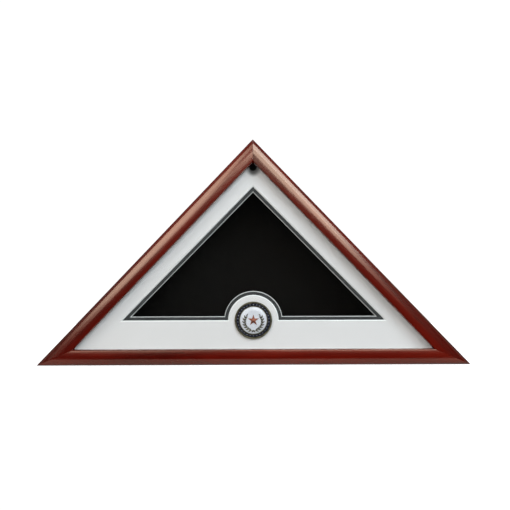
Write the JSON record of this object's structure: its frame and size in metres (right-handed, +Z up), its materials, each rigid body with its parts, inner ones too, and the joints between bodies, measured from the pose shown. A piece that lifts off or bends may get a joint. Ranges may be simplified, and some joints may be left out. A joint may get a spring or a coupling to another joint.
{
  "type": "folded flag display case",
  "caption": "Triangular hardwood display case for a folded flag, with moulded front frame, glass, double mat with medallion, lined interior and drop-down rear door held by turn buttons.",
  "frame": {"origin": "centre of the bounding box at the height of the base that the case stands on", "axes": "+Z up, the glazed front faces -Y, +X to the right of someone looking at the front, the rear door faces +Y"},
  "size_m": [0.6598, 0.116, 0.3428],
  "materials": {
    "cherry_gloss": "gloss lacquer over red mahogany stain",
    "stained_wood": "satin red mahogany stain",
    "black_wood": "matt black paint",
    "door_board": "thin satin sealer",
    "clear_glass": "clear, polished edges",
    "white_mat": "matt paper face, white core",
    "charcoal_mat": "matt charcoal paper face, light core",
    "black_flock": "black flocked pile on board",
    "white_foam": "closed-cell foam",
    "antique_bronze": "antiqued casting, polished high points",
    "copper_tint": "antiqued copper plate",
    "navy_enamel": "fired gloss enamel",
    "pale_enamel": "fired silver-white enamel",
    "brass_plate": "lacquered, lightly brushed",
    "zinc_steel": "bright zinc plate",
    "black_rubber": "matt moulded rubber"
  },
  "bodies": {
    "case": {"rail_bottom": "cherry_gloss", "rail_right": "cherry_gloss", "rail_left": "cherry_gloss", "bottom_board": "stained_wood", "side_board_left": "stained_wood", "side_board_right": "stained_wood", "apex_block": "black_wood", "retainer_bottom": "black_wood", "retainer_right": "black_wood", "retainer_left": "black_wood", "glass_pane": "clear_glass", "top_mat": "white_mat", "liner_mat": "charcoal_mat", "wall_lining_bottom": "black_flock", "wall_lining_right": "black_flock", "wall_lining_left": "black_flock", "spacer_bottom": "white_foam", "spacer_right": "white_foam", "spacer_left": "white_foam", "medallion_pad": "white_foam", "medallion_body": "antique_bronze", "medallion_wreath": "antique_bronze", "medallion_star": "copper_tint", "medallion_enamel_ring": "navy_enamel", "medallion_field": "pale_enamel", "hinge_leaf_case_left": "brass_plate", "hinge_leaf_case_right": "brass_plate", "hinge_pin_left": "brass_plate", "hinge_pin_right": "brass_plate", "hinge_screw_case_left_1": "brass_plate", "hinge_screw_case_left_2": "brass_plate", "hinge_screw_case_right_1": "brass_plate", "hinge_screw_case_right_2": "brass_plate", "turn_screw_left_low": "brass_plate", "turn_screw_left_high": "brass_plate", "turn_screw_right_low": "brass_plate", "turn_screw_right_high": "brass_plate", "sawtooth_hanger": "zinc_steel", "hanger_nail_left": "zinc_steel", "hanger_nail_right": "zinc_steel", "v_nail_left": "zinc_steel", "v_nail_right": "zinc_steel", "v_nail_apex": "zinc_steel", "wall_bumper_left": "black_rubber", "wall_bumper_right": "black_rubber"},
    "back_door": {"door_panel": "door_board", "door_lining": "black_flock", "hinge_leaf_door_left": "brass_plate", "hinge_leaf_door_right": "brass_plate", "hinge_screw_door_left_1": "brass_plate", "hinge_screw_door_left_2": "brass_plate", "hinge_screw_door_right_1": "brass_plate", "hinge_screw_door_right_2": "brass_plate"},
    "turn_button_left_low_body": {"turn_button_left_low": "brass_plate"},
    "turn_button_left_high_body": {"turn_button_left_high": "brass_plate"},
    "turn_button_right_low_body": {"turn_button_right_low": "brass_plate"},
    "turn_button_right_high_body": {"turn_button_right_high": "brass_plate"}
  },
  "joints": [
    {"name": "back_door_hinge", "type": "hinge", "parent": "case", "child": "back_door", "pos_m": [0, 0.0545, 0.01025], "axis": [-1, 0, 0], "range_deg": [0, 90]},
    {"name": "turn_left_low", "type": "hinge", "parent": "case", "child": "turn_button_left_low_body", "pos_m": [-0.22277, 0.052, 0.10421], "axis": [0, 1, 0], "range_deg": [0, 90]},
    {"name": "turn_left_high", "type": "hinge", "parent": "case", "child": "turn_button_left_high_body", "pos_m": [-0.10184, 0.052, 0.22988], "axis": [0, 1, 0], "range_deg": [0, 90]},
    {"name": "turn_right_low", "type": "hinge", "parent": "case", "child": "turn_button_right_low_body", "pos_m": [0.22277, 0.052, 0.10421], "axis": [0, -1, 0], "range_deg": [0, 90]},
    {"name": "turn_right_high", "type": "hinge", "parent": "case", "child": "turn_button_right_high_body", "pos_m": [0.10184, 0.052, 0.22988], "axis": [0, -1, 0], "range_deg": [0, 90]}
  ]
}
